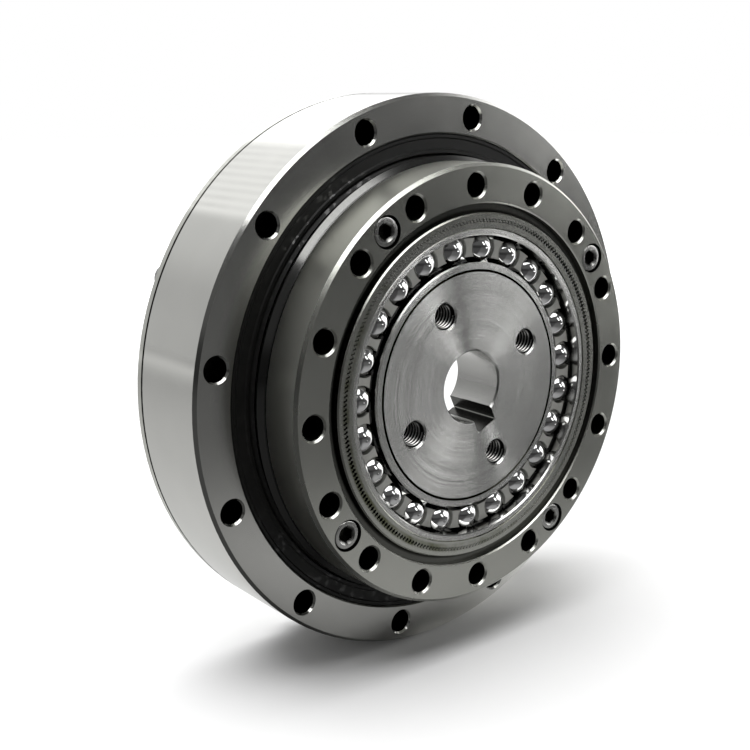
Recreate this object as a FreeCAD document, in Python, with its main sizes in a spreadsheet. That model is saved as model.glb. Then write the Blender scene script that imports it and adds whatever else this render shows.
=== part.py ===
"""Strain wave gearbox: hat flexspline, circular spline, wave generator and cross-roller output bearing.

Every piece is drawn with the unit's axis upright: radius across, height up from the rear face
of the mounting flange. UNIT then lays the axis level, with the output facing -Y and the
origin at the centre of the outer ring's front face.
"""
import FreeCAD, Part
import math
import os
import re

import Sketcher

doc = FreeCAD.newDocument("strain_wave_gearbox")

# Driving dimensions, in millimetres and degrees. A name ending in _turn is an angle seen from
# the front, anticlockwise from the right. A name ending in _level, _back or _front is a height.
SIZES = {
    # Mounting flange and outer ring
    "cut_margin": 1,
    "rear_level": 0,
    "body_radius": 55,
    "flange_front": 1.85,
    "ring_front": 20.6,
    "rim_chamfer": 0.6,
    "line_chamfer": 0.25,
    "joint_chamfer": 0.45,
    "edge_chamfer": 0.25,
    "hole_chamfer": 0.35,
    "mount_circle": 51,
    "mount_count": 12,
    "mount_hole": 2.25,
    "mount_turn": 20.2,
    "clamp_count": 4,
    "clamp_turn": 155.1,
    "clamp_head_height": 3,
    "clamp_thread_depth": 7,
    # Cross-roller bearing and its seal
    "roller_pitch": 42.8,
    "roller_level": 10.6,
    "roller_count": 44,
    "roller_diameter": 4.9,
    "roller_length": 4.8,
    "roller_lean": 45,
    "groove_side": 5,
    "race_gap": 0.6,
    "spacer_radius": 2.1,
    "spacer_length": 2.6,
    "spacer_gap": 0.06,
    "plug_turn": 305.2,
    "plug_radius": 2.75,
    "pin_circle": 50.4,
    "pin_radius": 1,
    "pin_top": 15,
    "seal_radius": 47.5,
    "seal_back": 15.1,
    "seal_sink": 0.3,
    "seal_gap": 0.3,
    "seal_lead": 0.6,
    "seal_bevel": 0.25,
    "land_radius": 46.5,
    "bead_radius": 44.65,
    "trough_radius": 43.6,
    "trough_depth": 0.7,
    "lip_radius": 42.6,
    "lip_width": 0.7,
    "lip_tip": 0.2,
    "lip_rise": 0.2,
    "lip_reach": 1.6,
    "inner_back": 3.2,
    "inner_bore": 34.5,
    # Circular spline, the output
    "output_radius": 42.5,
    "seat_level": 23.35,
    "output_front": 32.6,
    "output_circle": 38.5,
    "output_count": 16,
    "output_hole": 2.25,
    "output_turn": 1.75,
    "output_tap_radius": 1.65,
    "output_tap_depth": 8,
    "groove_inside": 33.4,
    "groove_outside": 35.1,
    "groove_depth": 1.2,
    # Screws, all of one thread
    "screw_count": 4,
    "screw_turn": 35.5,
    "screw_radius": 1.45,
    "screw_tap_radius": 1.5,
    "screw_hole": 1.7,
    "screw_length": 13,
    "head_radius": 2.75,
    "head_height": 3,
    "head_seat_radius": 3,
    "head_seat_depth": 3.3,
    "socket_radius": 1.44,
    "socket_depth": 1.6,
    "clamp_length": 8,
    # Teeth
    "flex_teeth": 240,
    "spline_teeth": 242,
    "flex_pitch": 31.75,
    "tooth_top": 0.2,
    "tooth_foot": 0.27,
    "tooth_lean": 20,
    "flank_gap": 0.04,
    # Flexspline
    "band_back": 23.2,
    "band_front": 32.5,
    "band_inside": 30.45,
    "wall_inside": 30.85,
    "wall_outside": 31.3,
    "wall_back": 4.6,
    "hat_corner": 3,
    "diaphragm_back": 0.65,
    "diaphragm_outside": 45.2,
    "flange_inside": 46.4,
    # Wave generator
    "wave_turn": 116,
    "plug_oval": 22.3,
    "shoulder_oval": 23.5,
    "plug_back": 19.1,
    "plug_front": 31.1,
    "bearing_back": 23.6,
    "outer_race_front": 32.4,
    "inner_race_oval": 23.85,
    "ball_pitch": 26.65,
    "ball_radius": 3.175,
    "ball_count": 23,
    "ball_turn": 161.8,
    "ball_level": 27.9,
    "ball_groove": 3.25,
    "outer_race_inside": 29.05,
    "outer_race_oval": 30.4,
    "cage_inside": 24.85,
    "cage_outside": 28.35,
    "cage_back": 23.4,
    "cage_front": 30.2,
    "pocket_radius": 3.3,
    "pocket_mouth": 2.95,
    "bore_radius": 7,
    "keyway_width": 5,
    "keyway_reach": 9.5,
    "tapped_circle": 16,
    "tapped_count": 4,
    "tapped_radius": 2.5,
    "tapped_turn": 26,
}

sheet = doc.addObject("Spreadsheet::Sheet", "Sizes")
for row, (alias, number) in enumerate(SIZES.items(), start=1):
    sheet.set(f"A{row}", alias)
    sheet.set(f"B{row}", str(number))
    sheet.setAlias(f"B{row}", alias)
doc.recompute()

AXIS = FreeCAD.Vector(0, 0, 1)
SAME = 1e-4  # Lengths that differ by less are taken as equal.
UNIT = FreeCAD.Placement(
    FreeCAD.Vector(0, sheet.get("ring_front"), 0), FreeCAD.Rotation(FreeCAD.Vector(1, 0, 0), 90)
)

# How far the wave generator pushes the flexspline out along the long axis of the oval.
WAVE = "(flex_pitch * (spline_teeth / flex_teeth - 1))"
wave = sheet.get("flex_pitch") * (sheet.get("spline_teeth") / sheet.get("flex_teeth") - 1)


def sized(formula):
    """A formula with each driving dimension's name in full. Every such name has an underscore."""
    return re.sub(r"[a-z]+(_[a-z]+)+", lambda name: "Sizes." + name.group(), formula)


def bind(thing, **formulas):
    """Ties sizes and places of one object to formulas. A double underscore stands for a dot."""
    for path, formula in formulas.items():
        thing.setExpression(path.replace("__", "."), sized(formula))
    return thing


def add(kind, name, **formulas):
    return bind(doc.addObject(kind, name), **formulas)


def polar(radius, degrees, height):
    turn = math.radians(degrees)
    return FreeCAD.Vector(radius * math.cos(turn), radius * math.sin(turn), height)


# Turned rings and what is drilled in them


def origin_feature(body, role):
    return next(feature for feature in body.Origin.OriginFeatures if feature.Role == role)


def turned(name, outline):
    """A body turned about the axis from a closed outline of (radius, height) formulas."""
    body = doc.addObject("PartDesign::Body", name)
    sketch = body.newObject("Sketcher::SketchObject", name + "_outline")
    sketch.AttachmentSupport = [(origin_feature(body, "XZ_Plane"), "")]
    sketch.MapMode = "FlatFace"
    count = len(outline)
    loose = [polar(1, 360 * corner / count, 0) for corner in range(count)]
    for corner in range(count):
        sketch.addGeometry(Part.LineSegment(loose[corner], loose[(corner + 1) % count]))
    for corner in range(count):
        sketch.addConstraint(Sketcher.Constraint("Coincident", corner, 2, (corner + 1) % count, 1))
    for corner, place in enumerate(outline):
        for kind, start, formula in zip(("DistanceX", "DistanceY"), loose[corner], place):
            number = sketch.addConstraint(Sketcher.Constraint(kind, -1, 1, corner, 1, start))
            sketch.renameConstraint(number, f"{kind}{corner}")
            sketch.setExpression(f"Constraints.{kind}{corner}", sized(formula))
    turning = body.newObject("PartDesign::Revolution", name + "_turning")
    turning.Profile = sketch
    turning.ReferenceAxis = (sketch, ["V_Axis"])
    turning.Angle = 360
    doc.recompute()
    return body


def on_circle(feature, circle, turn, low):
    return bind(
        feature,
        Placement__Base__x=f"{circle} * cos({turn})",
        Placement__Base__y=f"{circle} * sin({turn})",
        Placement__Base__z=low,
    )


def drilled(body, name, radius, low, high, circle, turn):
    hole = body.newObject("PartDesign::SubtractiveCylinder", name)
    bind(hole, Radius=radius, Height=f"{high} - ({low})")
    return on_circle(hole, circle, turn, low)


def countersunk(body, name, radius, face, circle, turn):
    """The chamfer round a hole's mouth in a face that looks forward."""
    cone = body.newObject("PartDesign::SubtractiveCone", name)
    bind(cone, Radius1=radius, Radius2=f"{radius} + hole_chamfer", Height="hole_chamfer")
    return on_circle(cone, circle, turn, f"{face} - hole_chamfer")


def repeated(body, name, features, count):
    ring = body.newObject("PartDesign::PolarPattern", name)
    ring.Originals = features
    ring.Axis = (origin_feature(body, "Z_Axis"), [""])
    ring.Angle = 360
    bind(ring, Occurrences=count)
    body.Tip = ring
    doc.recompute()


def chamfered(name, base, *levels):
    """Breaks every edge of a column or ring that lies at one of the given heights."""
    doc.recompute()
    size = sheet.get("edge_chamfer")
    heights = [sheet.get(level) for level in levels]
    piece = doc.addObject("Part::Chamfer", name)
    piece.Base = base
    piece.Edges = [
        (number, size, size)
        for number, edge in enumerate(base.Shape.Edges, start=1)
        if edge.isClosed() and any(abs(edge.Vertexes[0].Z - height) < SAME for height in heights)
    ]
    return piece


def mouth(name, radius, face, way, circle, turn):
    """The cone that opens a hole's mouth in a face that looks forward, way 1, or back, way -1."""
    wide = f"{radius} + hole_chamfer"
    low, first, second = (f"{face} - hole_chamfer", radius, wide) if way > 0 else (face, wide, radius)
    cone = add("Part::Cone", name, Radius1=first, Radius2=second, Height="hole_chamfer")
    return on_circle(cone, circle, turn, low)


def cut(name, base, *tools):
    for number, tool in enumerate(tools, start=1):
        last = number == len(tools)
        piece = doc.addObject("Part::Cut", name if last else f"{name}_cut_{number}")
        piece.Base = base
        piece.Tool = tool
        base = piece
    return base


def group(name, members):
    gathered = doc.addObject("Part::Compound", name)
    gathered.Links = members
    return gathered


# Outer ring: the housing of the cross-roller bearing. Half of the rollers' square groove is
# turned in its bore, and a loading hole comes in from the side, closed by a pinned plug.

HALF_GROOVE = "(groove_side / sqrt(2))"
OUTER_BORE = "(roller_pitch + race_gap / 2)"
OUTER_MOUTH = f"({HALF_GROOVE} - race_gap / 2)"

ring_blank = turned("ring_blank", [
    (OUTER_BORE, "flange_front"),
    ("body_radius - line_chamfer", "flange_front"),
    ("body_radius", "flange_front + line_chamfer"),
    ("body_radius", "ring_front - rim_chamfer"),
    ("body_radius - rim_chamfer", "ring_front"),
    ("seal_radius + line_chamfer", "ring_front"),
    ("seal_radius", "ring_front - line_chamfer"),
    ("seal_radius", "seal_back"),
    (OUTER_BORE, "seal_back"),
    (OUTER_BORE, f"roller_level + {OUTER_MOUTH}"),
    (f"roller_pitch + {HALF_GROOVE}", "roller_level"),
    (OUTER_BORE, f"roller_level - {OUTER_MOUTH}"),
])
repeated(ring_blank, "ring_mount_holes", [
    drilled(ring_blank, "ring_mount_hole", "mount_hole", "flange_front - cut_margin",
            "ring_front + cut_margin", "mount_circle", "mount_turn"),
    countersunk(ring_blank, "ring_mount_mouth", "mount_hole", "ring_front",
                "mount_circle", "mount_turn"),
], "mount_count")
repeated(ring_blank, "ring_clamp_threads", [
    drilled(ring_blank, "ring_clamp_thread", "screw_tap_radius", "flange_front - cut_margin",
            "flange_front + clamp_thread_depth", "mount_circle", "clamp_turn"),
], "clamp_count")


def loading_hole(name):
    """The rollers' loading hole, a cylinder that points out from the axis."""
    hole = add("Part::Cylinder", name, Radius="plug_radius",
               Height="body_radius - roller_pitch + cut_margin")
    turn = sheet.get("plug_turn")
    hole.Placement = FreeCAD.Placement(
        polar(sheet.get("roller_pitch"), turn, sheet.get("roller_level")),
        FreeCAD.Rotation(AXIS, polar(1, turn, 0)),
    )
    return hole


def lock_pin(name):
    pin = add("Part::Cylinder", name, Radius="pin_radius", Height="pin_top - flange_front")
    return on_circle(pin, "pin_circle", "plug_turn", "flange_front")


outer_ring = cut("outer_ring", ring_blank, loading_hole("ring_loading_hole"), lock_pin("ring_pin_hole"))

plug_blank = doc.addObject("Part::Common", "roller_plug_blank")
plug_blank.Base = ring_blank
plug_blank.Tool = loading_hole("roller_plug_body")
roller_plug = cut("roller_plug", plug_blank, lock_pin("plug_pin_hole"))

roller_plug_pin = group("roller_plug_pin", [lock_pin("lock_pin_rod")])

# Output seal: a rubber ring pressed into the front of the outer ring. Its face has a raised
# land, a bead and a trough, and its lip leans forward onto the journal. A second lip faces back.

SEAL_FACE = "(ring_front - seal_sink)"

output_seal = turned("output_seal", [
    ("seal_radius - seal_lead", "seal_back + seal_gap"),
    ("seal_radius", "seal_back + seal_gap + seal_lead"),
    ("seal_radius", f"{SEAL_FACE} - seal_bevel"),
    ("seal_radius - seal_bevel", SEAL_FACE),
    ("land_radius + seal_bevel", SEAL_FACE),
    ("land_radius", f"{SEAL_FACE} - seal_bevel"),
    ("bead_radius", f"{SEAL_FACE} - seal_bevel"),
    ("bead_radius - seal_bevel", SEAL_FACE),
    ("trough_radius + seal_bevel", SEAL_FACE),
    ("trough_radius", f"{SEAL_FACE} - trough_depth"),
    ("lip_radius + lip_width", f"{SEAL_FACE} - seal_bevel"),
    ("lip_radius + lip_tip", f"{SEAL_FACE} + lip_rise"),
    ("lip_radius", f"{SEAL_FACE} + lip_rise - lip_tip"),
    ("lip_radius + lip_width", f"{SEAL_FACE} - lip_reach"),
    ("lip_radius + lip_width", "seal_back + lip_reach"),
    ("lip_radius + lip_tip", "seal_back + seal_gap + lip_tip"),
    ("lip_radius + lip_width", "seal_back + seal_gap"),
])

# Inner ring: carries the other half of the rollers' groove, the seal's journal and the
# threads that the circular spline and the load are screwed into.

INNER_MOUTH = f"({HALF_GROOVE} - roller_pitch + output_radius)"

inner_ring = turned("inner_ring", [
    ("inner_bore", "inner_back"),
    ("output_radius - rim_chamfer", "inner_back"),
    ("output_radius", "inner_back + rim_chamfer"),
    ("output_radius", f"roller_level - {INNER_MOUTH}"),
    (f"roller_pitch - {HALF_GROOVE}", "roller_level"),
    ("output_radius", f"roller_level + {INNER_MOUTH}"),
    ("output_radius", "seat_level - joint_chamfer"),
    ("output_radius - joint_chamfer", "seat_level"),
    ("inner_bore", "seat_level"),
])
repeated(inner_ring, "inner_output_threads", [
    drilled(inner_ring, "inner_output_thread", "output_tap_radius", "seat_level - output_tap_depth",
            "seat_level + cut_margin", "output_circle", "output_turn"),
], "output_count")
repeated(inner_ring, "inner_screw_threads", [
    drilled(inner_ring, "inner_screw_thread", "screw_tap_radius", "seat_level - output_tap_depth",
            "seat_level + cut_margin", "output_circle", "screw_turn"),
], "screw_count")

# Crossed rollers: short cylinders in the square groove, every second one turned by 90 degrees,
# with spacers between them.


def roller_place(number, lean, size):
    """Where a roller of the given length lies: its axis leans by lean degrees from outward."""
    turn = 360 * number / sheet.get("roller_count")
    centre = polar(sheet.get("roller_pitch"), turn, sheet.get("roller_level"))
    along = polar(math.cos(math.radians(lean)), turn, math.sin(math.radians(lean)))
    return FreeCAD.Placement(centre - along * (size / 2), FreeCAD.Rotation(AXIS, along))


def rollers(name, first, lean):
    members = []
    for number in range(first, int(sheet.get("roller_count")), 2):
        roller = add("Part::Cylinder", f"{name}_{number}",
                     Radius="roller_diameter / 2", Height="roller_length")
        roller.Placement = roller_place(number, lean, sheet.get("roller_length"))
        members.append(roller)
    return group(name, members)


LEAN = sheet.get("roller_lean")
rollers_leaning_front = rollers("rollers_leaning_front", 0, LEAN)
rollers_leaning_back = rollers("rollers_leaning_back", 1, -LEAN)


def spacer(first, leans):
    """A plastic disc between two rollers, hollowed on each side to the roller that it meets."""
    length = sheet.get("spacer_length")
    middle = first + 0.5
    turn = 360 * middle / sheet.get("roller_count")
    centre = polar(sheet.get("roller_pitch"), turn, sheet.get("roller_level"))
    forward = polar(1, turn + 90, 0)
    disc = Part.makeCylinder(sheet.get("spacer_radius"), length, centre - forward * (length / 2), forward)
    for number, lean in zip((first, first + 1), leans):
        reach = 2 * sheet.get("roller_length")
        hollow = Part.makeCylinder(sheet.get("roller_diameter") / 2 + sheet.get("spacer_gap"), reach)
        hollow.Placement = roller_place(number, lean, reach)
        disc = disc.cut(hollow)
    return disc


roller_spacers = doc.addObject("Part::Feature", "roller_spacers")
spacer_pair = [spacer(0, (LEAN, -LEAN)), spacer(1, (-LEAN, LEAN))]
spacer_step = 720 / sheet.get("roller_count")
roller_spacers.Shape = Part.makeCompound([
    disc.rotated(FreeCAD.Vector(), AXIS, spacer_step * pair)
    for pair in range(int(sheet.get("roller_count")) // 2)
    for disc in spacer_pair
])

# Teeth. Both gears have straight-flanked teeth. The flexspline's follow the oval, each one
# square to it, and stand in the middle of a space of the circular spline on its long axis.

TOOTH_PITCH = 2 * math.pi * sheet.get("flex_pitch") / sheet.get("flex_teeth")


def tooth_prism(count, seat, half_width, foot, top, low, high):
    """A column whose outline has count teeth. seat gives each one's pitch point and its lean."""
    slope = math.tan(math.radians(sheet.get("tooth_lean")))
    corners = []
    for number in range(count):
        point, outward = seat(360 * number / count)
        across = AXIS.cross(outward)
        for side, rise in ((-1, -foot), (-1, top), (1, top), (1, -foot)):
            corners.append(point + outward * rise + across * side * (half_width - slope * rise))
    outline = Part.makePolygon(corners + corners[:1])
    outline.translate(AXIS * low)
    return Part.Face(outline).extrude(AXIS * (high - low))


def flex_seat(degrees):
    """A tooth of the flexspline, carried out and along by the wave."""
    turn = math.radians(degrees)
    pitch = sheet.get("flex_pitch")
    shift = -wave * math.sin(2 * turn) / (2 * pitch)
    tilt = 2 * wave * math.sin(2 * turn) / pitch
    place = sheet.get("wave_turn") + degrees + math.degrees(shift)
    point = polar(pitch + wave * math.cos(2 * turn), place, 0)
    return point, polar(1, place + math.degrees(tilt), 0)


def spline_seat(degrees):
    """A space of the circular spline."""
    place = sheet.get("wave_turn") + degrees
    return polar(sheet.get("flex_pitch") + wave, place, 0), polar(1, place, 0)


# Circular spline: the rigid ring gear and the output face. A groove parts the bolted ring
# from the toothed one, and the screws' heads are sunk into the face.

spline_blank = turned("spline_blank", [
    ("flex_pitch - cut_margin", "seat_level"),
    ("output_radius - joint_chamfer", "seat_level"),
    ("output_radius", "seat_level + joint_chamfer"),
    ("output_radius", "output_front - rim_chamfer"),
    ("output_radius - rim_chamfer", "output_front"),
    ("groove_outside + edge_chamfer", "output_front"),
    ("groove_outside", "output_front - edge_chamfer"),
    ("groove_outside", "output_front - groove_depth"),
    ("groove_inside", "output_front - groove_depth"),
    ("groove_inside", "output_front - edge_chamfer"),
    ("groove_inside - edge_chamfer", "output_front"),
    ("flex_pitch - cut_margin", "output_front"),
])
repeated(spline_blank, "spline_output_holes", [
    drilled(spline_blank, "spline_output_hole", "output_hole", "seat_level - cut_margin",
            "output_front + cut_margin", "output_circle", "output_turn"),
    countersunk(spline_blank, "spline_output_mouth", "output_hole", "output_front",
                "output_circle", "output_turn"),
], "output_count")
repeated(spline_blank, "spline_screw_holes", [
    drilled(spline_blank, "spline_screw_hole", "screw_hole", "seat_level - cut_margin",
            "output_front + cut_margin", "output_circle", "screw_turn"),
    drilled(spline_blank, "spline_head_seat", "head_seat_radius", "output_front - head_seat_depth",
            "output_front + cut_margin", "output_circle", "screw_turn"),
], "screw_count")
spline_spaces = doc.addObject("Part::Feature", "spline_spaces")
spline_spaces.Shape = tooth_prism(
    int(sheet.get("spline_teeth")), spline_seat, TOOTH_PITCH / 4,
    sheet.get("tooth_top"), sheet.get("tooth_foot"),
    sheet.get("seat_level") - sheet.get("cut_margin"),
    sheet.get("output_front") + sheet.get("cut_margin"),
)
circular_spline = cut("circular_spline", spline_blank, spline_spaces)

# Screws. A socket cap screw stands with the underside of its head at one height and its
# thread pointing one way along the axis.


def cap_screw(name, turn, under_head, height, length, way):
    """way is 1 for a head that faces the output, or -1 for one on the rear face."""
    parts = []
    for part, radius, low, high in (
        ("head", "head_radius", "0", height),
        ("shank", "screw_radius", f"-({length})", "0"),
    ):
        low, high = (low, high) if way > 0 else (f"-({high})", f"-({low})")
        rod = add("Part::Cylinder", f"{name}_{part}", Radius=radius, Height=f"{high} - ({low})")
        parts.append(on_circle(rod, "output_circle" if way > 0 else "mount_circle", turn,
                               f"{under_head} + ({low})"))
    joined = doc.addObject("Part::Fuse", f"{name}_blank")
    joined.Base, joined.Tool = parts
    socket = add("Part::Prism", f"{name}_socket", Circumradius="socket_radius", Height="socket_depth")
    socket.Polygon = 6
    floor = f"{height} - socket_depth" if way > 0 else f"-({height})"
    on_circle(socket, "output_circle" if way > 0 else "mount_circle", turn, f"{under_head} + ({floor})")
    return cut(name, joined, socket)


spline_screws = group("spline_screws", [
    cap_screw(f"spline_screw_{number}", f"(screw_turn + {number} * 360 / screw_count)",
              "(output_front - head_seat_depth)", "head_height", "screw_length", 1)
    for number in range(int(sheet.get("screw_count")))
])
flange_screws = group("flange_screws", [
    cap_screw(f"flange_screw_{number}", f"(clamp_turn + {number} * 360 / clamp_count)",
              "rear_level", "clamp_head_height", "clamp_length", -1)
    for number in range(int(sheet.get("clamp_count")))
])

# Ovals. The wave generator's pieces are rings stretched along the wave's long axis.


def oval(name, radius, height):
    outline = add(
        "Part::Ellipse", name,
        MajorRadius=f"{radius} + {WAVE}",
        MinorRadius=f"{radius} - {WAVE}",
        Placement__Rotation__Angle="wave_turn",
        Placement__Base__z=height,
    )
    return outline


def oval_column(name, radius, low, high):
    column = add("Part::Extrusion", name, LengthFwd=f"{high} - ({low})")
    column.Base = oval(name + "_outline", radius, low)
    column.DirMode = "Custom"
    column.Dir = AXIS
    column.Solid = True
    return column


def on_oval(thing, number, height):
    """Stands a thing at one ball's place on the oval path of the ball centres."""
    turn = f"(ball_turn + {number} * 360 / ball_count)"
    return on_circle(thing, f"(ball_pitch + {WAVE} * cos(2 * ({turn} - wave_turn)))", turn, height)


def ball_track(name):
    """The tube that the balls' groove follows round the oval."""
    path = oval(name + "_path", "ball_pitch", "ball_level")
    section = add("Part::Circle", name + "_section", Radius="ball_groove")
    turn = sheet.get("wave_turn")
    section.Placement = FreeCAD.Placement(
        polar(sheet.get("ball_pitch") + wave, turn, sheet.get("ball_level")),
        FreeCAD.Rotation(AXIS, polar(1, turn + 90, 0)),
    )
    track = doc.addObject("Part::Sweep", name)
    track.Sections = [section]
    track.Spine = (path, ["Edge1"])
    track.Solid = True
    return track


# Wave plug: the oval hub on the motor shaft, with a bore, a keyway on the long axis and four
# threaded holes. A shoulder at the rear stops the bearing. The threads' outside is drawn.

THROUGH = "plug_front - plug_back + 2 * cut_margin"
PLUG_FACES = (("front", "plug_front", 1), ("back", "plug_back", -1))

plug_bore = add("Part::Cylinder", "plug_bore", Radius="bore_radius", Height=THROUGH,
                Placement__Base__z="plug_back - cut_margin")
plug_keyway = add(
    "Part::Box", "plug_keyway", Length="keyway_reach", Width="keyway_width", Height=THROUGH,
    Placement__Base__x="keyway_width / 2 * sin(wave_turn + 180)",
    Placement__Base__y="-keyway_width / 2 * cos(wave_turn + 180)",
    Placement__Base__z="plug_back - cut_margin",
    Placement__Rotation__Angle="wave_turn + 180",
)
plug_mouths = [
    mouth(f"plug_bore_{side}", "bore_radius", face, way, "0", "0") for side, face, way in PLUG_FACES
]
plug_threads = []
for number in range(int(sheet.get("tapped_count"))):
    turn = f"(tapped_turn + {number} * 360 / tapped_count)"
    thread = add("Part::Cylinder", f"plug_thread_{number}", Radius="tapped_radius", Height=THROUGH)
    plug_threads.append(on_circle(thread, "tapped_circle", turn, "plug_back - cut_margin"))
    for side, face, way in PLUG_FACES:
        plug_mouths.append(mouth(f"plug_thread_{number}_{side}", "tapped_radius", face, way,
                                 "tapped_circle", turn))
plug_blank_oval = doc.addObject("Part::Fuse", "wave_plug_blank")
plug_blank_oval.Base = chamfered(
    "wave_plug_hub", oval_column("wave_plug_hub_column", "plug_oval", "plug_back", "plug_front"),
    "plug_front",
)
plug_blank_oval.Tool = chamfered(
    "wave_plug_shoulder",
    oval_column("wave_plug_shoulder_column", "shoulder_oval", "plug_back", "bearing_back"),
    "plug_back",
)
wave_plug = cut("wave_plug", plug_blank_oval, plug_bore, plug_keyway, group("plug_threads", plug_threads),
                group("plug_mouths", plug_mouths))

# Flexible bearing: two thin races, the balls and a crown cage that is open at the front.


def race(name, outside, inside, front):
    """An oval ring with broken edges and the balls' groove turned in it."""
    ring = cut(
        name + "_ring",
        oval_column(name + "_outside", outside, "bearing_back", front),
        oval_column(name + "_bore", inside, "bearing_back", front),
    )
    return cut(name, chamfered(name + "_edges", ring, "bearing_back", front), ball_track(name + "_track"))


bearing_inner_race = race("bearing_inner_race", "inner_race_oval", "plug_oval", "plug_front")
bearing_outer_race = race(
    "bearing_outer_race", "outer_race_oval", "outer_race_inside", "outer_race_front"
)
BALLS = range(int(sheet.get("ball_count")))
bearing_balls = group("bearing_balls", [
    on_oval(add("Part::Sphere", f"ball_{number}", Radius="ball_radius"), number, "ball_level")
    for number in BALLS
])
cage_pockets = group("cage_pockets", [
    on_oval(add("Part::Sphere", f"pocket_{number}", Radius="pocket_radius"), number, "ball_level")
    for number in BALLS
])
cage_mouths = group("cage_mouths", [
    on_oval(add("Part::Cylinder", f"mouth_{number}", Radius="pocket_mouth",
                Height="cage_front - ball_level + cut_margin"), number, "ball_level")
    for number in BALLS
])
bearing_cage = cut(
    "bearing_cage",
    oval_column("cage_outer", "cage_outside", "cage_back", "cage_front"),
    oval_column("cage_bore", "cage_inside", "cage_back", "cage_front"),
    cage_pockets,
    cage_mouths,
)

# Flexspline: a toothed band at the open end, a thin wall that settles from oval to round, and
# a diaphragm that flares out to the mounting flange.

band_teeth = doc.addObject("Part::Feature", "band_teeth")
band_teeth.Shape = tooth_prism(
    int(sheet.get("flex_teeth")), flex_seat, TOOTH_PITCH / 4 - sheet.get("flank_gap"),
    sheet.get("tooth_foot"), sheet.get("tooth_top"),
    sheet.get("band_back"), sheet.get("band_front"),
)
tooth_band = cut(
    "tooth_band", band_teeth, oval_column("band_bore", "band_inside", "band_back", "band_front")
)


def wall_side(name, radius):
    """One side of the thin wall, from the oval at the teeth to a circle at the diaphragm."""
    foot = add("Part::Circle", name + "_foot", Radius=radius, Placement__Base__z="wall_back",
               Placement__Rotation__Angle="wave_turn")
    side = doc.addObject("Part::Loft", name)
    side.Sections = [foot, oval(name + "_top", radius, "band_back")]
    side.Solid = True
    return side


thin_wall = cut(
    "thin_wall", wall_side("wall_outer_side", "wall_outside"), wall_side("wall_inner_side", "wall_inside")
)

hat = turned("hat_brim", [
    ("wall_inside", "wall_back"),
    ("wall_inside", "diaphragm_back"),
    ("diaphragm_outside", "diaphragm_back"),
    ("flange_inside", "rear_level"),
    ("body_radius - line_chamfer", "rear_level"),
    ("body_radius", "line_chamfer"),
    ("body_radius", "flange_front - line_chamfer"),
    ("body_radius - line_chamfer", "flange_front"),
    ("flange_inside", "flange_front"),
    ("diaphragm_outside", "diaphragm_back + wall_outside - wall_inside"),
    ("wall_outside", "diaphragm_back + wall_outside - wall_inside"),
    ("wall_outside", "wall_back"),
])


def rounded(body, name, radius, edge_radius, edge_height):
    """Rounds the circular edge of a turned body at the given radius and height."""
    tip = body.Tip
    names = [
        f"Edge{number}"
        for number, edge in enumerate(tip.Shape.Edges, start=1)
        if isinstance(edge.Curve, Part.Circle)
        and abs(edge.Curve.Radius - edge_radius) < SAME
        and abs(edge.Curve.Center.z - edge_height) < SAME
    ]
    corner = body.newObject("PartDesign::Fillet", name)
    corner.Base = (tip, names)
    bind(corner, Radius=radius)
    doc.recompute()


skin = sheet.get("wall_outside") - sheet.get("wall_inside")
rounded(hat, "hat_outer_corner", "hat_corner",
        sheet.get("wall_outside"), sheet.get("diaphragm_back") + skin)
rounded(hat, "hat_inner_corner", "hat_corner + wall_outside - wall_inside",
        sheet.get("wall_inside"), sheet.get("diaphragm_back"))
repeated(hat, "hat_mount_holes", [
    drilled(hat, "hat_mount_hole", "mount_hole", "rear_level - cut_margin", "flange_front + cut_margin",
            "mount_circle", "mount_turn"),
], "mount_count")
repeated(hat, "hat_clamp_holes", [
    drilled(hat, "hat_clamp_hole", "screw_hole", "rear_level - cut_margin", "flange_front + cut_margin",
            "mount_circle", "clamp_turn"),
], "clamp_count")

flexspline = doc.addObject("Part::MultiFuse", "flexspline")
flexspline.Shapes = [tooth_band, thin_wall, hat]

# Every piece takes the unit's place, is tested and is written to a file of its own name.

PIECES = [
    outer_ring, roller_plug, roller_plug_pin, output_seal, inner_ring,
    rollers_leaning_front, rollers_leaning_back, roller_spacers,
    circular_spline, spline_screws, flange_screws,
    wave_plug, bearing_inner_race, bearing_outer_race, bearing_balls, bearing_cage, flexspline,
]
doc.recompute()
for piece in PIECES:
    piece.Placement = UNIT.multiply(piece.Placement)
doc.recompute()

for thing in doc.Objects:
    if "Invalid" in thing.State or "Error" in thing.State:
        raise RuntimeError(f"{thing.Label} failed: {thing.State}")
for piece in PIECES:
    if piece.Shape.isNull() or not piece.Shape.isValid() or not piece.Shape.Solids:
        raise RuntimeError(f"{piece.Label} has no valid solid")

os.makedirs("parts", exist_ok=True)
for piece in PIECES:
    piece.Shape.exportStep(f"parts/{piece.Label}.step")
    print(f"{piece.Label}: {len(piece.Shape.Solids)} solids, {piece.Shape.Volume / 1000:.3f} cm3")
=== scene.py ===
"""Looks of a strain wave gearbox: ground and turned steel, a rubber seal and an open ball bearing."""
import math

import bpy
from mathutils import Matrix, Vector


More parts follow.
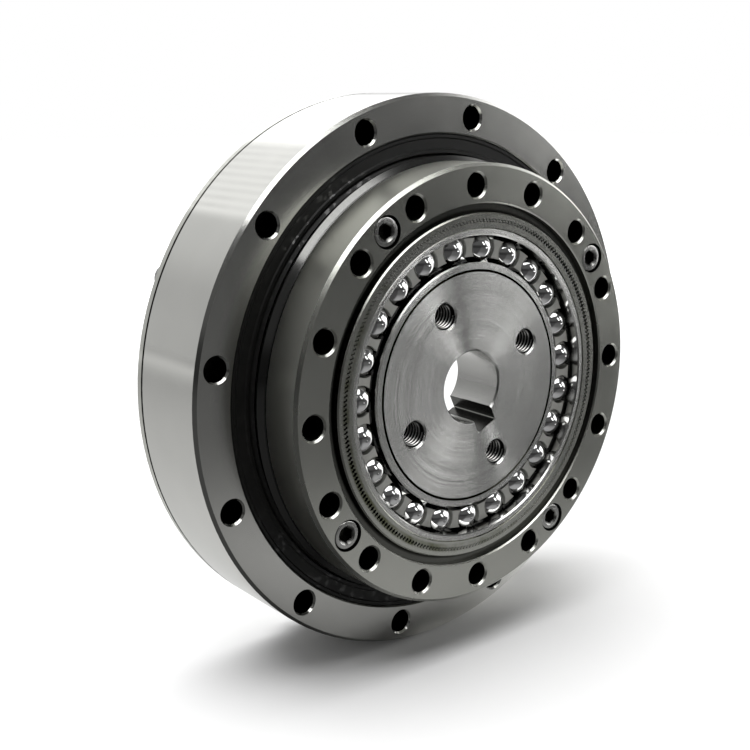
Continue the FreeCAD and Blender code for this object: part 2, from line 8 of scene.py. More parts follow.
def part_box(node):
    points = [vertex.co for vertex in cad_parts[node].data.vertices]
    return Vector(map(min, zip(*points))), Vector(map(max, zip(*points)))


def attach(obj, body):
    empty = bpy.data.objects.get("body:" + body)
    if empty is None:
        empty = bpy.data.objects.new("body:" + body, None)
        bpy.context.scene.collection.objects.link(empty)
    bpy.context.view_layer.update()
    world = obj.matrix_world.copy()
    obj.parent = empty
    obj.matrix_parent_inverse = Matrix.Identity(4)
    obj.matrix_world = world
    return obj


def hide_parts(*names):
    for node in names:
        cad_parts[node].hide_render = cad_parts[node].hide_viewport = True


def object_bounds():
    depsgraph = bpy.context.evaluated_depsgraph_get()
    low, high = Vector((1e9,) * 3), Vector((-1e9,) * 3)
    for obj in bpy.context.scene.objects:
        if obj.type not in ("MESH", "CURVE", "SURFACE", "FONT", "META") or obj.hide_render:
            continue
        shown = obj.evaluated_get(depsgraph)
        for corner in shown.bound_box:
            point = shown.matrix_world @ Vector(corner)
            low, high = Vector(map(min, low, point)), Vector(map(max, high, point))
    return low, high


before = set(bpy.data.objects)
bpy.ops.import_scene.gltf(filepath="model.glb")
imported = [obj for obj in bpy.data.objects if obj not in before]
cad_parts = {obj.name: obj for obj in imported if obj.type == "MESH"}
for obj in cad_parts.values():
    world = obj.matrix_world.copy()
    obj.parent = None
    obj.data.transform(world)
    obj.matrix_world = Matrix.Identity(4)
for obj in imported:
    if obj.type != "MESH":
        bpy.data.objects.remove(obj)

cad_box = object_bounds()

# Outer ring of the cross-roller bearing, with the flange face that the unit is bolted by.
# Bearing steel, turned and then ground, so fine lines run round the rim and round the face.
# A plug closes the hole that the rollers are loaded through, and a pin holds the plug.


class Wire:
    """A socket of a node tree. Arithmetic on it adds Math nodes."""

    def __init__(self, tree, socket=None):
        self.tree = tree
        self.socket = socket

    def node(self, kind, sockets, output=0, stops=(), **settings):
        """Adds a node: its settings first, then the values or links of its sockets."""
        made = self.tree.nodes.new("ShaderNode" + kind)
        for setting, choice in settings.items():
            setattr(made, setting, choice)
        for number, (place, level) in enumerate(stops):
            ramp = made.color_ramp.elements
            stop = ramp[number] if number < 2 else ramp.new(place)
            stop.position = place
            stop.color = (level, level, level, 1)
        for key, value in sockets.items():
            if isinstance(value, Wire):
                self.tree.links.new(value.socket, made.inputs[key])
            else:
                made.inputs[key].default_value = value
        return Wire(self.tree, made.outputs[output])

    def math(self, operation, *others):
        return self.node("Math", dict(enumerate((self, *others))), operation=operation)

    def __add__(self, other):
        return self.math("ADD", other)

    __radd__ = __add__

    def __mul__(self, other):
        return self.math("MULTIPLY", other)

    __rmul__ = __mul__

    def __sub__(self, other):
        return self.math("SUBTRACT", other)

    def __rsub__(self, other):
        return self.node("Math", {0: other, 1: self}, operation="SUBTRACT")

    def between(self, low, high):
        """0 below low and 1 above high, with a smooth step between them."""
        return self.node("MapRange", {"Value": self, "From Min": low, "From Max": high},
                         interpolation_type="SMOOTHSTEP")

    def inside(self, low, high, blur):
        """1 from low to high and 0 outside, with soft ends as wide as blur."""
        return self.between(low - blur, low) * (1 - self.between(high, high + blur))

    def tint(self, first, second):
        """The first colour where this is 0 and the second where it is 1."""
        colours = [part if isinstance(part, Wire) else (*part, 1) for part in (first, second)]
        return self.node("Mix", {0: self, 6: colours[0], 7: colours[1]}, output=2, data_type="RGBA")

    def vector(self, operation, *others, output=0):
        return self.node("VectorMath", dict(enumerate((self, *others))), output, operation=operation)


def shader(name, **constants):
    """A new material, its Principled shader with constant sockets set, and a wire to start from."""
    material = bpy.data.materials.new(name)
    material.use_nodes = True
    principled = material.node_tree.nodes["Principled BSDF"]
    for socket, value in constants.items():
        principled.inputs[socket.replace("_", " ")].default_value = value
    return material, principled, Wire(material.node_tree)


def feed(principled, **wires):
    for socket, wire in wires.items():
        wire.tree.links.new(wire.socket, principled.inputs[socket.replace("_", " ")])


EDGE_BLUR = 0.0001
WALL_FACING = (0.3, 0.6)


class Turning:
    """Where a point lies on a piece turned about the axis: radius, distance forward and facing."""

    def __init__(self, start):
        self.place = start.node("TexCoord", {}, output="Object")
        self.flat = self.place.vector("MULTIPLY", (1, 0, 1))
        self.radius = self.flat.vector("LENGTH", output="Value")
        self.forward = start.node("SeparateXYZ", {0: self.place}, output="Y") * -1.0
        self.normal = start.node("NewGeometry", {}, output="Normal")
        self.facing = start.node("SeparateXYZ", {0: self.normal}, output="Y").math("ABSOLUTE")

    def walls(self, inside, outside):
        """1 on walls along the axis between two distances from it, such as the walls of holes."""
        return self.radius.inside(inside, outside, EDGE_BLUR) * (1 - self.facing.between(*WALL_FACING))


FEED_MARK = 0.00004
FEED_BAND = 0.0005
BAND_SHARE = 0.3
SMEAR_SCALE = 90.0
SMEAR_ROUGHNESS = 0.08
SHADE_LOW = 0.9
SHADE_HIGH = 1.1
# Black for oil and painted shade in holes, recesses, seams and screw sockets.
OIL_AND_SHADE_BLACK = (0.02, 0.02, 0.017)
GREASE = (0.2, 0.21, 0.13)


def turned_steel(name, colour, face, side=(0.12, 0.03), dark=None, grease=None):
    """Bare steel with tool marks that lean its normal, and smears from handling.

    face and side give the roughness and the lean of faces across the axis and of those along it.
    dark and grease take the Turning and give 1 where holes, recesses and seams are painted black for oil and
    shade, or where grease lies.
    """
    material, principled, start = shader(name, Metallic=1.0)
    turning = Turning(start)
    face_rough, face_lean = face
    side_rough, side_lean = side
    across = turning.radius - turning.forward
    mark = start.node("TexNoise", {"W": across * (1 / FEED_MARK), "Detail": 2.0}, noise_dimensions="1D")
    band = start.node("TexNoise", {"W": across * (1 / FEED_BAND), "Detail": 4.0}, noise_dimensions="1D")
    smear = start.node("TexNoise", {"Vector": turning.place, "Scale": SMEAR_SCALE, "Detail": 4.0})
    lean = (turning.facing * (face_lean - side_lean) + side_lean) * (mark - 0.5) * 2.0
    along = turning.flat.vector("NORMALIZE").vector("ADD", (0, 1, 0))
    slope = along.node("VectorMath", {0: along, "Scale": lean}, operation="SCALE")
    mottle = band * BAND_SHARE + smear * (1 - BAND_SHARE)
    shade = mottle.tint([SHADE_LOW * part for part in colour], [SHADE_HIGH * part for part in colour])
    evenly = side_rough - SMEAR_ROUGHNESS / 2
    rough = turning.facing * (face_rough - side_rough) + smear * SMEAR_ROUGHNESS + evenly
    if grease:
        shade = grease(turning, start).tint(shade, GREASE)
    # Painted shade and oil: the dark mask tints holes, recesses and seams black.
    if dark:
        shade = dark(turning).tint(shade, OIL_AND_SHADE_BLACK)
    feed(principled, Base_Color=shade, Roughness=rough,
         Normal=turning.normal.vector("ADD", slope).vector("NORMALIZE"))
    return material


def finish(node, material):
    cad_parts[node].data.materials.clear()
    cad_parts[node].data.materials.append(material)


MOUNT_HOLES = (0.0485, 0.0535)
RING_JOINT = -0.01875
SEAM_HALF = 0.0002
SEAM_OUTSIDE = (0.05, 0.051)


def ring_dark(turning):
    """The drilled mounting holes, whose walls are painted dark for oil and shade, and the dark seam where the
    flange meets the ring.
    """
    seam = turning.forward.inside(RING_JOINT - SEAM_HALF, RING_JOINT + SEAM_HALF, SEAM_HALF)
    return turning.walls(*MOUNT_HOLES) + seam * turning.radius.between(*SEAM_OUTSIDE)


finish("outer_ring", turned_steel("ring_steel", (0.66, 0.66, 0.63), (0.18, 0.14), (0.1, 0.012),
                                  dark=ring_dark))
finish("roller_plug", turned_steel("loading_plug_steel", (0.62, 0.62, 0.61), (0.25, 0.3)))
finish("roller_plug_pin", turned_steel("pin_steel", (0.6, 0.6, 0.6), (0.3, 0.2)))

# Rollers and spacers of the cross-roller bearing, between the two rings. The rollers are
# hardened and ground, every second one turned by a right angle, and the spacers are moulded.

for node in ("rollers_leaning_front", "rollers_leaning_back"):
    finish(node, turned_steel(node + "_steel", (0.7, 0.7, 0.7), (0.1, 0.03), (0.1, 0.03)))

GRAIN_SCALE = 700.0
GRAIN_ROUGHNESS = 0.2


def moulded_plastic(name, dark, light, roughness):
    """Moulded plastic with a fine grain."""
    material, principled, start = shader(name)
    place = start.node("TexCoord", {}, output="Object")
    grain = start.node("TexNoise", {"Vector": place, "Scale": GRAIN_SCALE, "Detail": 5.0})
    feed(principled, Base_Color=grain.tint(dark, light),
         Roughness=grain * GRAIN_ROUGHNESS + (roughness - GRAIN_ROUGHNESS / 2))
    return material


finish("roller_spacers", moulded_plastic("spacer_plastic", (0.35, 0.33, 0.28), (0.45, 0.43, 0.37), 0.45))

# Inner ring, the journal that the seal's lip runs on. Bearing steel, ground bright. Its front
# edge is a bevelled shoulder, and oil lies in the joint with the circular spline.

OUTPUT_JOINT = 0.00275
OUTPUT_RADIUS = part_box("circular_spline")[1].x
SHOULDER_STEP = 0.0009
SHOULDER_LAND = 0.0003
SHOULDER_SET_BACK = 0.0002
SHOULDER_SIDES = 240


def output_seam(turning):
    """The joint between the inner ring and the circular spline."""
    return turning.forward.inside(OUTPUT_JOINT - SEAM_HALF, OUTPUT_JOINT + SEAM_HALF, SEAM_HALF)


finish("inner_ring", turned_steel("journal_steel", (0.66, 0.66, 0.65), (0.2, 0.3), dark=output_seam))

bpy.ops.object.select_all(action="DESELECT")
bpy.ops.mesh.primitive_circle_add(vertices=SHOULDER_SIDES, radius=OUTPUT_RADIUS, rotation=(math.pi / 2, 0, 0),
                                  location=(0, SHOULDER_SET_BACK - OUTPUT_JOINT, 0))
bpy.ops.object.transform_apply(location=True, rotation=True)
shoulder = bpy.context.object
shoulder.name = "journal_shoulder"
bpy.ops.object.mode_set(mode="EDIT")
bpy.ops.mesh.select_all(action="SELECT")
swell = 1 + SHOULDER_STEP / OUTPUT_RADIUS
for step, growth in ((SHOULDER_STEP, swell), (SHOULDER_LAND, 1), (SHOULDER_LAND, 1 / swell)):
    bpy.ops.mesh.extrude_region_move(TRANSFORM_OT_translate={"value": (0, step, 0)})
    bpy.ops.transform.resize(value=(growth, 1, growth))
bpy.ops.mesh.select_mode(type="EDGE")
bpy.ops.mesh.select_all(action="DESELECT")
bpy.ops.mesh.select_non_manifold()
bpy.ops.mesh.bridge_edge_loops()
bpy.ops.mesh.select_all(action="SELECT")
bpy.ops.mesh.normals_make_consistent(inside=False)
bpy.ops.object.mode_set(mode="OBJECT")
bpy.ops.object.shade_smooth_by_angle(angle=math.radians(20))
shoulder.data.materials.append(turned_steel("shoulder_steel", (0.17, 0.17, 0.165), (0.12, 0.02),
                                            (0.12, 0.02)))
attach(shoulder, "output")

# Output seal, moulded black rubber pressed into the outer ring. Its lip runs on the journal,
# and a film of oil makes it shine.

SEAL_SCALE = 900.0
FILM_EDGE = (0.58, 0.66)
seal_rubber, rubber, start = shader("seal_rubber", Specular_IOR_Level=0.25, Coat_Roughness=0.1)
place = start.node("TexCoord", {}, output="Object")
grain = start.node("TexNoise", {"Vector": place, "Scale": SEAL_SCALE, "Detail": 5.0})
film = start.node("TexNoise", {"Vector": place, "Scale": SEAL_SCALE, "Detail": 3.0})
feed(rubber, Base_Color=grain.tint((0.003, 0.003, 0.003), (0.01, 0.01, 0.009)),
     Roughness=grain * 0.2 + 0.35, Coat_Weight=film.between(*FILM_EDGE))
finish("output_seal", seal_rubber)

# Flexspline, a thin hat of spring steel with teeth on its rim. Its flange is clamped behind
# the outer ring by four screws. Ground all over, with grease left in the teeth.

TOOTH_RIM = (0.0311, 0.0321, 0.0005)
GREASE_FROM = (0.004, 0.006)
GREASE_TOWARD = (-0.8, 0, -0.6)
GREASE_GAIN = 14.0
BLOT_SCALE = 400.0
BLOT_EDGE = (0.5, 1.1)


def tooth_grease(turning, start):
    """Olive grease in blots on the toothed rims, thickest on the left and below."""
    low = turning.place.vector("DOT_PRODUCT", GREASE_TOWARD, output="Value")
    blot = start.node("TexNoise", {"Vector": turning.place, "Scale": BLOT_SCALE, "Detail": 4.0})
    thick = (blot + low * GREASE_GAIN).between(*BLOT_EDGE)
    return turning.radius.inside(*TOOTH_RIM) * turning.forward.between(*GREASE_FROM) * thick


finish("flexspline", turned_steel("spring_steel", (0.62, 0.625, 0.58), (0.22, 0.2), (0.1, 0.012),
                                  dark=ring_dark, grease=tooth_grease))

# Four socket screws hold the flexspline's flange to the outer ring from behind. Plain steel,
# with a knurled side and a hexagon socket whose floor is painted black as shade.

SCREW_COUNT = 4
SCREW_RADIUS = 0.00145
SCREW_POINT = 0.0003
POINT_TAPER = 0.8
HEAD_RADIUS = 0.00275
HEAD_HEIGHT = 0.003
HEAD_ROUND = 0.00035
HEAD_SIDES = 60
KNURL = 0.00004
SOCKET_RADIUS = 0.00144
SOCKET_DEPTH = 0.0016
SOCKET_MOUTH = 0.00185
SOCKET_MOUTH_FOOT = 0.9 * SOCKET_RADIUS
SOCKET_MOUTH_DEPTH = 0.0004
CUT_PROUD = 1e-6
STAIN_SCALE = 800.0
STAIN_DARK = 0.75
FLANGE_SCREW_LENGTH = 0.008
FLANGE_SCREW_CIRCLE = 0.051
FLANGE_SCREW_TURN = 155.1


def select_faces(piece, test):
    """In edit mode, selects only the faces whose centre and normal pass the test."""
    bpy.ops.mesh.select_all(action="DESELECT")
    bpy.ops.object.mode_set(mode="OBJECT")
    for face in piece.data.polygons:
        face.select = test(face.center, face.normal)
    bpy.ops.object.mode_set(mode="EDIT")


def cut_away(piece, cutter):
    """Cuts one object out of another and removes it."""
    bpy.ops.object.select_all(action="DESELECT")
    bpy.context.view_layer.objects.active = piece
    piece.select_set(True)
    hole = piece.modifiers.new("hole", "BOOLEAN")
    hole.operation = "DIFFERENCE"
    hole.solver = "EXACT"
    hole.object = cutter
    bpy.ops.object.modifier_apply(modifier=hole.name)
    bpy.data.objects.remove(cutter)


def cap_screw(name, length):
    """A socket screw on the Z axis, with the top of its head at the origin."""
    bpy.ops.object.select_all(action="DESELECT")
    bpy.ops.mesh.primitive_cylinder_add(vertices=HEAD_SIDES, radius=HEAD_RADIUS, depth=HEAD_HEIGHT,
                                        location=(0, 0, -HEAD_HEIGHT / 2))
    bpy.ops.object.transform_apply(location=True)
    piece = bpy.context.object
    piece.name = name
    bpy.ops.object.mode_set(mode="EDIT")
    bpy.ops.mesh.select_mode(type="FACE")
    select_faces(piece, lambda centre, normal: normal.z < -0.9)
    bpy.ops.mesh.inset(thickness=HEAD_RADIUS - SCREW_RADIUS)
    bpy.ops.mesh.extrude_region_move(TRANSFORM_OT_translate={"value": (0, 0, SCREW_POINT - length)})
    bpy.ops.mesh.extrude_region_move(TRANSFORM_OT_translate={"value": (0, 0, -SCREW_POINT)})
    bpy.ops.transform.resize(value=(POINT_TAPER, POINT_TAPER, 1))
    select_faces(piece, lambda centre, normal: normal.z > 0.9)
    bpy.ops.mesh.bevel(offset=HEAD_ROUND, segments=4)
    select_faces(piece, lambda centre, normal: abs(normal.z) < 0.1 and centre.z > -HEAD_HEIGHT)
    bpy.ops.mesh.inset(thickness=KNURL, depth=KNURL, use_individual=True)
    bpy.ops.object.mode_set(mode="OBJECT")
    bpy.ops.object.select_all(action="DESELECT")
    bpy.ops.mesh.primitive_cylinder_add(vertices=6, radius=SOCKET_RADIUS, depth=2 * SOCKET_DEPTH)
    cut_away(piece, bpy.context.object)
    bpy.ops.object.select_all(action="DESELECT")
    bpy.ops.mesh.primitive_cone_add(vertices=HEAD_SIDES, radius1=SOCKET_MOUTH_FOOT, radius2=SOCKET_MOUTH,
                                    depth=SOCKET_MOUTH_DEPTH,
                                    location=(0, 0, CUT_PROUD - SOCKET_MOUTH_DEPTH / 2))
    cut_away(piece, bpy.context.object)
    bpy.ops.object.shade_smooth_by_angle(angle=math.radians(24))
    # Marks the socket's deep vertices, which the material paints black as shade.
    socket = piece.data.attributes.new("socket", "FLOAT", "POINT")
    for vertex, mark in zip(piece.data.vertices, socket.data):
        deep = vertex.co.z < -SOCKET_MOUTH_DEPTH / 2 and vertex.co.xy.length < SOCKET_RADIUS * 1.01
        mark.value = float(deep and vertex.co.z > -2 * SOCKET_DEPTH + SOCKET_MOUTH_DEPTH)
    return piece


def set_screws(model, node, body, colour, circle, first_turn, level, way):
    """Copies of a screw on a circle. way is -1 where the heads face the front and 1 at the rear."""
    material, principled, start = shader(model.name + "_steel", Metallic=1.0)
    place = start.node("TexCoord", {}, output="Object")
    stain = start.node("TexNoise", {"Vector": place, "Scale": STAIN_SCALE, "Detail": 4.0})
    # Painted shade: the marked floor of the socket is tinted black.
    socket = start.node("Attribute", {}, output="Fac", attribute_name="socket")
    shade = stain.tint([STAIN_DARK * part for part in colour], colour)
    feed(principled, Base_Color=socket.tint(shade, OIL_AND_SHADE_BLACK), Roughness=stain * 0.2 + 0.15)
    model.data.materials.append(material)
    for number in range(SCREW_COUNT):
        turn = math.radians(first_turn + 360 / SCREW_COUNT * number)
        tightened = Matrix.Rotation(number, 4, "Z")
        screw = model.copy()
        screw.data = model.data.copy()
        screw.name = f"{model.name}_{number + 1}"
        bpy.context.collection.objects.link(screw)
        screw.data.transform(Matrix.Rotation(-way * math.pi / 2, 4, "X") @ tightened)
        screw.data.transform(Matrix.Translation((circle * math.cos(turn), level, circle * math.sin(turn))))
        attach(screw, body)
        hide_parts(node)
    bpy.data.objects.remove(model)


set_screws(cap_screw("flange_screw", FLANGE_SCREW_LENGTH), "flange_screws", "housing", (0.55, 0.55, 0.54),
           FLANGE_SCREW_CIRCLE, FLANGE_SCREW_TURN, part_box("flange_screws")[1].y, 1)

# Circular spline, the rigid ring gear and output face. Face-turned steel with grease on the teeth. The groove
# round them, their flanks and the holes are painted dark for oil and shade. Four socket screws hold it to the
# inner ring.

OUTPUT_FRONT = 0.012
OUTPUT_HOLES = (0.0353, 0.0417)
OUTPUT_SIDE = (0.0423, 0.0427)
SIDE_SHADE = 0.2
FACE_EDGE = 0.0002
TOOTH_TIPS = 0.030
GROOVE_INSIDE = 0.0334
GROOVE_OUTSIDE = 0.0351
GROOVE_FLOOR = (0.0337, 0.0342)
FLOOR_BARE = 0.2
LEFT_SIDE = (-1, 0, 0)
LEFT_SIDE_EDGE = (-0.01, 0.01)
FLANK_SHADE_LEAST = 0.2
FLANK_SHADE_MORE = 0.6
SPLINE_SCREW_LENGTH = 0.013
SPLINE_SCREW_CIRCLE = 0.0385
SPLINE_SCREW_TURN = 35.5


def spline_dark(turning):
    """Painted shade: drilled holes and screw seats, the groove round the teeth, the teeth's flanks behind the
    face, more on the left, a little of the outer wall, and the dark seam behind.
    """
    deep = 1 - turning.forward.between(OUTPUT_FRONT - 2 * FACE_EDGE, OUTPUT_FRONT - FACE_EDGE)
    near = 1 - turning.radius.between(*GROOVE_FLOOR) * FLOOR_BARE
    groove = turning.radius.inside(GROOVE_INSIDE, GROOVE_OUTSIDE, EDGE_BLUR) * deep * near
    leftness = turning.place.vector("DOT_PRODUCT", LEFT_SIDE, output="Value").between(*LEFT_SIDE_EDGE)
    teeth = turning.radius.inside(TOOTH_TIPS, GROOVE_INSIDE - FACE_EDGE, EDGE_BLUR)
    flanks = teeth * deep * (leftness * FLANK_SHADE_MORE + FLANK_SHADE_LEAST)
    outside = turning.walls(*OUTPUT_SIDE) * SIDE_SHADE
    return turning.walls(*OUTPUT_HOLES) + output_seam(turning) + groove + flanks + outside


finish("circular_spline", turned_steel("spline_steel", (0.62, 0.625, 0.575), (0.2, 0.2), (0.42, 0.05),
                                       dark=spline_dark, grease=tooth_grease))
set_screws(cap_screw("spline_screw", SPLINE_SCREW_LENGTH), "spline_screws", "output", (0.6, 0.6, 0.58),
           SPLINE_SCREW_CIRCLE, SPLINE_SCREW_TURN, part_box("spline_screws")[0].y, -1)

# Wave plug, the oval hub on the motor shaft. Face-turned steel with coarse feed marks, a bore
# with a keyway, and four holes with cut threads. Hole, keyway and bore walls are painted dark as shade.

PLUG_FRONT = 0.0105
PLUG_HOLES = (0.0131, 0.0189)
PLUG_EDGE = (0.0210, 0.0212)
EDGE_FACING = (0.8, 0.95)
KEYWAY = (0.0072, 0.0097)
KEYWAY_SHADE = 0.92
BORE = (0.0068, 0.0071)
BORE_SHADE = 0.35


def plug_dark(turning):
    """Painted shade and oil on the walls of the threaded holes, the keyway and the bore, and the dark edge
    next to the bearing.
    """
    edge = turning.radius.between(*PLUG_EDGE) * (1 - turning.facing.between(*EDGE_FACING))
    key = turning.walls(*KEYWAY) * KEYWAY_SHADE + turning.walls(*BORE) * BORE_SHADE
    return turning.walls(*PLUG_HOLES) + key + edge


finish("wave_plug", turned_steel("plug_steel", (0.69, 0.69, 0.67), (0.18, 1.7), (0.25, 0.15),
                                 dark=plug_dark))

THREAD_COUNT = 4
THREAD_PITCH = 0.0008
THREAD_TURNS = 13
THREAD_STEPS = 32
THREAD_INSIDE = 0.0021
THREAD_OUTSIDE = 0.00252
THREAD_HALF_WIDTH = 0.00036
THREAD_START = 0.0006
THREAD_CIRCLE = 0.016
THREAD_TURN = 26
CREST_EDGE = (0.5, 0.9)
bpy.ops.object.select_all(action="DESELECT")
bpy.ops.mesh.primitive_circle_add(vertices=3)
thread_model = bpy.context.object
thread_model.name = "plug_thread"
ridge = ((THREAD_OUTSIDE, -THREAD_HALF_WIDTH), (THREAD_INSIDE, 0), (THREAD_OUTSIDE, THREAD_HALF_WIDTH))
for vertex, (radius, level) in zip(thread_model.data.vertices, ridge):
    vertex.co = (radius, level, 0)
sweep = thread_model.modifiers.new("sweep", "SCREW")
sweep.axis = "Y"
sweep.screw_offset = THREAD_PITCH
sweep.iterations = THREAD_TURNS
sweep.steps = THREAD_STEPS
sweep.render_steps = THREAD_STEPS
bpy.ops.object.modifier_apply(modifier=sweep.name)
bpy.ops.object.mode_set(mode="EDIT")
bpy.ops.mesh.select_all(action="SELECT")
bpy.ops.mesh.fill_holes(sides=3)
bpy.ops.mesh.normals_make_consistent(inside=False)
bpy.ops.object.mode_set(mode="OBJECT")
bpy.ops.object.shade_smooth_by_angle(angle=math.radians(30))
crest_marks = thread_model.data.attributes.new("crest", "FLOAT", "POINT")
for vertex, mark in zip(thread_model.data.vertices, crest_marks.data):
    mark.value = float(vertex.co.xz.length < (THREAD_INSIDE + THREAD_OUTSIDE) / 2)
thread_steel, cut_steel, start = shader("thread_steel", Metallic=1.0)
place = start.node("TexCoord", {}, output="Object")
stain = start.node("TexNoise", {"Vector": place, "Scale": 900.0, "Detail": 3.0})
crest = start.node("Attribute", {}, output="Fac", attribute_name="crest").between(*CREST_EDGE)
# Painted shade and oil: the thread's roots are near black, and only the crests show bare steel.
feed(cut_steel, Base_Color=(crest * (stain * 0.5 + 0.6)).tint((0.01, 0.01, 0.01), (0.8, 0.8, 0.77)),
     Roughness=stain * 0.2 + 0.2)
thread_model.data.materials.append(thread_steel)
for number in range(THREAD_COUNT):
    turn = math.radians(THREAD_TURN + 360 / THREAD_COUNT * number)
    thread = thread_model.copy()
    thread.data = thread_model.data.copy()
    thread.name = f"plug_thread_{number + 1}"
    bpy.context.collection.objects.link(thread)
    thread.data.transform(Matrix.Translation((THREAD_CIRCLE * math.cos(turn), THREAD_START - PLUG_FRONT,
                                              THREAD_CIRCLE * math.sin(turn))))
    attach(thread, "wave_generator")
bpy.data.objects.remove(thread_model)

# Flexible bearing on the plug: two thin ground races, polished balls and a moulded crown cage.
# The races are painted dark for oil and shade inside, between and behind the balls.

INNER_RACE_FRONT = (PLUG_FRONT - 0.0006, PLUG_FRONT - 0.0003)
INNER_RACE_SEAT = (0.0229, 0.0231)
OUTER_RACE_FRONT = (OUTPUT_FRONT - 0.0025, OUTPUT_FRONT - 0.0005)
OUTER_RACE_OIL_AND_SHADE = 0.9
BETWEEN_RACES = (0.0265, 0.027)


def race_dark(turning):
    """Painted shade and oil: all of a race behind its broken front edge, less so on the outer race's front
    wall, and the edge at the seat.
    """
    inner = 1 - turning.forward.between(*INNER_RACE_FRONT)
    outer = (1 - turning.forward.between(*OUTER_RACE_FRONT)) * OUTER_RACE_OIL_AND_SHADE
    far = turning.radius.between(*BETWEEN_RACES)
    edge = (1 - turning.radius.between(*INNER_RACE_SEAT)) * (1 - turning.facing.between(*EDGE_FACING))
    return inner * (1 - far) + outer * far + edge


for node in ("bearing_inner_race", "bearing_outer_race"):
    finish(node, turned_steel(node + "_steel", (0.7, 0.7, 0.68), (0.2, 1.2), dark=race_dark))
finish("bearing_balls", turned_steel("ball_steel", (0.75, 0.75, 0.75), (0.08, 0.0), (0.08, 0.0)))
finish("bearing_cage", moulded_plastic("cage_plastic", (0.24, 0.24, 0.22), (0.34, 0.34, 0.32), 0.4))

# Studio floor, plain pale paint that the camera sees fade to white. Where steel mirrors it, it is
# darkened in front, on the left and behind, a painted shade, and glows on the right and far behind, a painted
# light.

FLOOR_HALF = 3.0
FLOOR_PALE = (0.9, 0.9, 0.9)
FLOOR_MIRROR_SHADE = (0.03, 0.03, 0.03)
FADE_OUT = (0.25, 0.5)
BACK_EDGE = (-0.01, 0.02)
BACK_SLANT = 0.45
BACK_SLANT_FAR = 0.17
SIDE_EDGE = (0.0, 0.1)
SIDE_SLANT = 0.3
LEFT_EDGE = (-0.035, -0.01)
RIGHT_EDGE = (-0.02, 0.06)
FRONT_DIM = 0.64
FRONT_DIM_FAR = 0.29
FRONT_FAR = (0.02, 0.15)
LEFT_DIM = 0.98
BACK_DIM = 0.67
BACK_DIM_NEAR = 0.014
BACK_DIM_FAR = 0.55
BACK_FAR = (0.4, 1.2)
SIDE_GLOW = 0.6
BACK_GLOW = 0.16
BACK_GLOW_FAR = (0.3, 1.0)
bpy.ops.object.select_all(action="DESELECT")
bpy.ops.mesh.primitive_plane_add(size=2 * FLOOR_HALF, location=(0, 0, cad_box[0][2]))
floor = bpy.context.object
floor.name = "floor"
floor_paint, paint, start = shader("floor_paint", Roughness=0.9, Specular_IOR_Level=0.0,
                                   Emission_Strength=1.0)
place = start.node("TexCoord", {}, output="Object")
sideways = start.node("SeparateXYZ", {0: place}, output="X")
backward = start.node("SeparateXYZ", {0: place}, output="Y")
away = place.vector("LENGTH", output="Value")
slant = away.between(*FADE_OUT) * BACK_SLANT_FAR + BACK_SLANT
behind = (backward + sideways * slant).between(*BACK_EDGE)
beside = 1 - (backward - sideways * SIDE_SLANT).between(*SIDE_EDGE)
left = 1 - sideways.between(*LEFT_EDGE)
right = sideways.between(*RIGHT_EDGE)
mirrored = start.node("LightPath", {}, output="Is Glossy Ray")
floor_seen = start.node("LightPath", {}, output="Is Camera Ray")
middle_dim = away.between(*FRONT_FAR) * FRONT_DIM_FAR + FRONT_DIM
front_dim = middle_dim + (LEFT_DIM - middle_dim) * left
close_up = away.math("POWER", -1.0) * BACK_DIM_NEAR
back_dim = (BACK_DIM - close_up - away.between(*BACK_FAR) * BACK_DIM_FAR) * (1 - right)
dim = front_dim * (1 - behind) + back_dim * behind
mirror_glow = right * beside * SIDE_GLOW + away.between(*BACK_GLOW_FAR) * BACK_GLOW
shine = floor_seen * away.between(*FADE_OUT) + mirrored * behind * mirror_glow
# Mirrored rays see the floor darkened, a painted shade, and glowing, a painted light.
feed(paint, Base_Color=(mirrored * dim).tint(FLOOR_PALE, FLOOR_MIRROR_SHADE),
     Emission_Color=shine.tint((0, 0, 0), (1, 1, 1)))
floor.data.materials.append(floor_paint)

# Studio room: dark walls in front, a bright roof behind, a window with beads above the front, and a
# strip and a side window at the right. Only mirrored rays see it: the camera sees white, and the rest
# of the light is a soft fill, stronger from the back, and a broad lamp overhead.

# Brightness of the walls by compass angle: 0 is the front, 90 the right, 180 the back.
# Brightness of the roof by angle about the part's axis: 0 is the right, 90 straight up.
PEAK = 3.6
WALLS = [(-180, 0.7), (180, 0.7), (-170, 0.65), (-150, 0.55), (-138, 0.5), (-90, 0.1), (-60, 0.03),
         (-20, 0.04), (0, 0.05), (44, 0.08), (53, 1.4), (60, 3.2), (80, 3.4), (100, 1.8), (135, 0.8),
         (170, 0.75)]
ROOF = [(-180, 0.5), (180, 0.5), (10, 1.8), (74, 1.8), (77, 1.15), (119, 1.1), (122, 0.75), (141, 0.67),
        (156, 0.55)]
ROOF_HEIGHT = (0.1, 0.25)
ROOF_START = (-0.05, 0.25)
ROOF_SKEW = 0.13
FRONT_ROOF = 0.1
SLATS = 80.0
SLAT_SPAN = (1.34, 2.08, 0.02)
SLAT_DEPTH = 0.2
WINDOW = 4.0
WINDOW_SPAN = (1.03, 2.1, 0.03)
WINDOW_FOOT_SLOPE = 1.15
WINDOW_FOOT = (0.0, 0.05)
WINDOW_HEAD_SLOPE = 0.3
WINDOW_HEAD = (-0.05, 0.0)
BEADS = 120.0
BEAD_DEPTH = 0.25
LOW_SPAN = (0.18, 0.42, 0.06)
STRIP = 4.0
STRIP_LEAN = 0.54
STRIP_SPAN = (0.5, 0.6, 0.04)
SIDE_WINDOW = 2.4
SIDE_SPAN = (0.74, 1.2, 0.08)
FRONT_FILL = 0.2
BACK_FILL = 0.6
FILL_SLANT = 0.4
FILL_EDGE = (-0.5, 0.5)


def ring_of_light(angle, levels):
    stops = [(degrees / 360 + 0.5, level / PEAK) for degrees, level in levels]
    return angle.node("ValToRGB", {0: angle * (0.5 / math.pi) + 0.5}, stops=stops) * PEAK


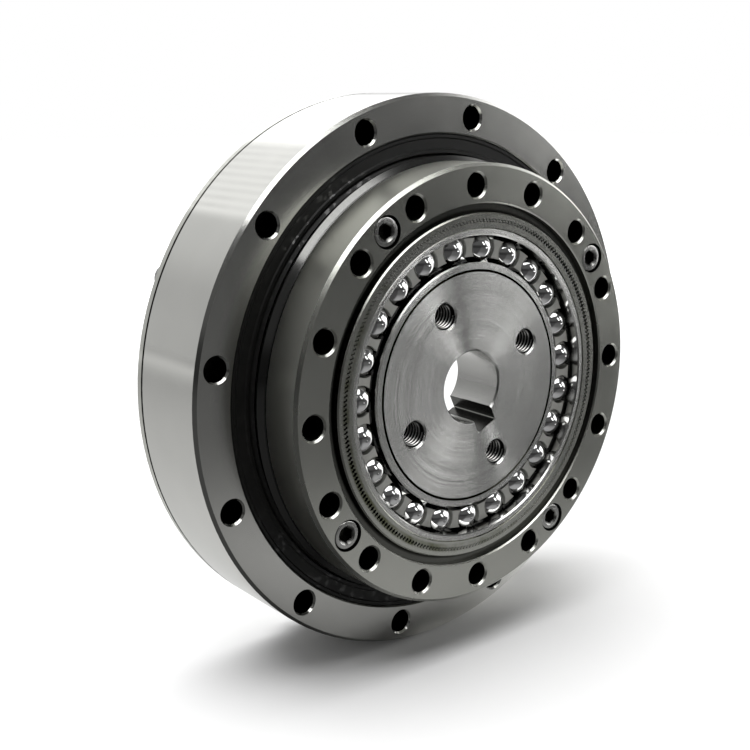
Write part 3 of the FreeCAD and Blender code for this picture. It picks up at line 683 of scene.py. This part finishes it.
world = bpy.data.worlds.new("studio")
bpy.context.scene.world = world
world.use_nodes = True
sky = world.node_tree.nodes["Background"]
sky.inputs["Color"].default_value = (1, 1, 1, 1)
air = Wire(world.node_tree)
toward = air.node("TexCoord", {}, output="Generated")
across, back, height = (air.node("SeparateXYZ", {0: toward}, output=axis) for axis in "XYZ")
compass = across.math("ARCTAN2", back * -1.0)
about = height.math("ARCTAN2", across) + back * ROOF_SKEW
glossy = air.node("LightPath", {}, output="Is Glossy Ray")
sky_seen = air.node("LightPath", {}, output="Is Camera Ray")
wall = ring_of_light(compass, WALLS)
slats = (about * SLATS).math("SINE") * about.inside(*SLAT_SPAN) * SLAT_DEPTH
roof = (ring_of_light(about, ROOF) + slats - FRONT_ROOF) * back.between(*ROOF_START) + FRONT_ROOF
above_foot = (back + height * WINDOW_FOOT_SLOPE).between(*WINDOW_FOOT)
below_head = 1 - (back + height * WINDOW_HEAD_SLOPE).between(*WINDOW_HEAD)
window = about.inside(*WINDOW_SPAN) * above_foot * below_head
beads = (about * BEADS).math("SINE") * BEAD_DEPTH + (1 - BEAD_DEPTH)
low = height.inside(*LOW_SPAN)
strip = (compass + height * STRIP_LEAN).inside(*STRIP_SPAN) * low
side_window = compass.inside(*SIDE_SPAN) * low
lamps = window * beads * WINDOW + strip * STRIP + side_window * SIDE_WINDOW
glow = wall + (roof - wall) * height.between(*ROOF_HEIGHT) + lamps * glossy
fill = (back + across * FILL_SLANT).between(*FILL_EDGE) * (BACK_FILL - FRONT_FILL) + FRONT_FILL
lit = (glow - fill) * glossy + fill
level = lit + (1 - lit) * sky_seen
air.tree.links.new(level.socket, sky.inputs["Strength"])

LAMP_PLACE = Vector((-0.12, 0.04, 0.8))
LAMP_SIZE = 0.9
LAMP_ENERGY = 11
lamp_data = bpy.data.lights.new("softbox", "AREA")
lamp_data.size = LAMP_SIZE
lamp_data.energy = LAMP_ENERGY
lamp = bpy.data.objects.new("softbox", lamp_data)
bpy.context.collection.objects.link(lamp)
lamp.location = LAMP_PLACE
lamp.rotation_euler = LAMP_PLACE.to_track_quat("Z", "Y").to_euler()
lamp.visible_glossy = False

CAMERA_PLACE = (-0.1483, -0.1656, 0.0534)
CAMERA_TILT = 76.56
CAMERA_HEADING = -38.72
camera_data = bpy.data.cameras.new("camera")
camera_data.lens = 55.0
camera_data.sensor_width = 36.0
camera = bpy.data.objects.new("camera", camera_data)
bpy.context.collection.objects.link(camera)
camera.location = CAMERA_PLACE
camera.rotation_euler = (math.radians(CAMERA_TILT), 0, math.radians(CAMERA_HEADING))
bpy.context.scene.camera = camera
bpy.context.scene.view_settings.view_transform = "Standard"
